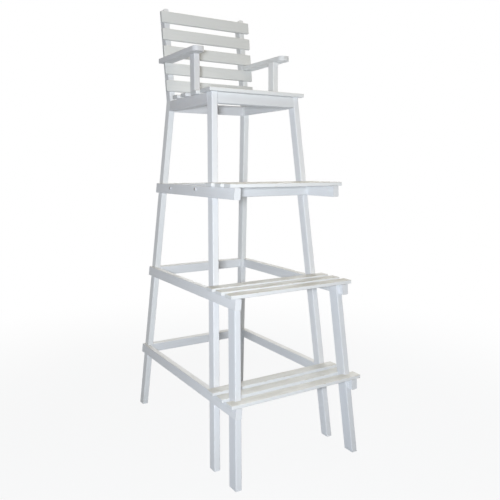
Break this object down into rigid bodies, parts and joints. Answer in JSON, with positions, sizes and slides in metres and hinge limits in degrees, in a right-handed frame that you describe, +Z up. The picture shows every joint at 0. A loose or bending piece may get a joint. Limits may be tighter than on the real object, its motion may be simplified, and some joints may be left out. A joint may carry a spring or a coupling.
{
  "type": "lifeguard stand",
  "caption": "Tall white-painted wooden lifeguard chair: a slatted seat with armrests and raked back on a splayed leg tower, with slatted steps and a foot platform in front.",
  "frame": {"origin": "on the ground, under the middle of the stand's bounding box", "axes": "+Z up, -Y the way the sitter faces, +X to the right as seen from the front"},
  "size_m": [0.7494, 1.184, 2.2931],
  "materials": {
    "frame_paint": "satin white paint on sawn wood",
    "slat_paint": "satin white paint on sawn wood, walked on and a little dirty"
  },
  "bodies": {
    "root": {"front_leg_left": "frame_paint", "front_leg_right": "frame_paint", "rear_leg_left": "frame_paint", "rear_leg_right": "frame_paint", "step_leg_left": "frame_paint", "step_leg_right": "frame_paint", "lower_rail_left": "frame_paint", "lower_rail_right": "frame_paint", "lower_rail_rear": "frame_paint", "middle_rail_left": "frame_paint", "middle_rail_right": "frame_paint", "middle_rail_rear": "frame_paint", "platform_rail_left": "frame_paint", "platform_rail_right": "frame_paint", "platform_rail_rear": "frame_paint", "platform_front_board": "frame_paint", "seat_rail_left": "frame_paint", "seat_rail_right": "frame_paint", "seat_rail_front": "frame_paint", "seat_rail_rear": "frame_paint", "lower_slat_inner": "slat_paint", "lower_slat_centre": "slat_paint", "lower_slat_front": "slat_paint", "middle_slat_inner": "slat_paint", "middle_slat_centre": "slat_paint", "middle_slat_front": "slat_paint", "platform_slat_inner": "slat_paint", "platform_slat_centre": "slat_paint", "platform_slat_front": "slat_paint", "seat_slat_front": "slat_paint", "seat_slat_second": "slat_paint", "seat_slat_third": "slat_paint", "seat_slat_rear": "slat_paint", "back_post_left": "frame_paint", "back_post_right": "frame_paint", "back_slat_bottom": "slat_paint", "back_slat_lower": "slat_paint", "back_slat_middle": "slat_paint", "back_slat_upper": "slat_paint", "back_slat_top": "slat_paint", "arm_post_left": "frame_paint", "arm_post_right": "frame_paint", "armrest_left": "slat_paint", "armrest_right": "slat_paint"}
  },
  "joints": []
}
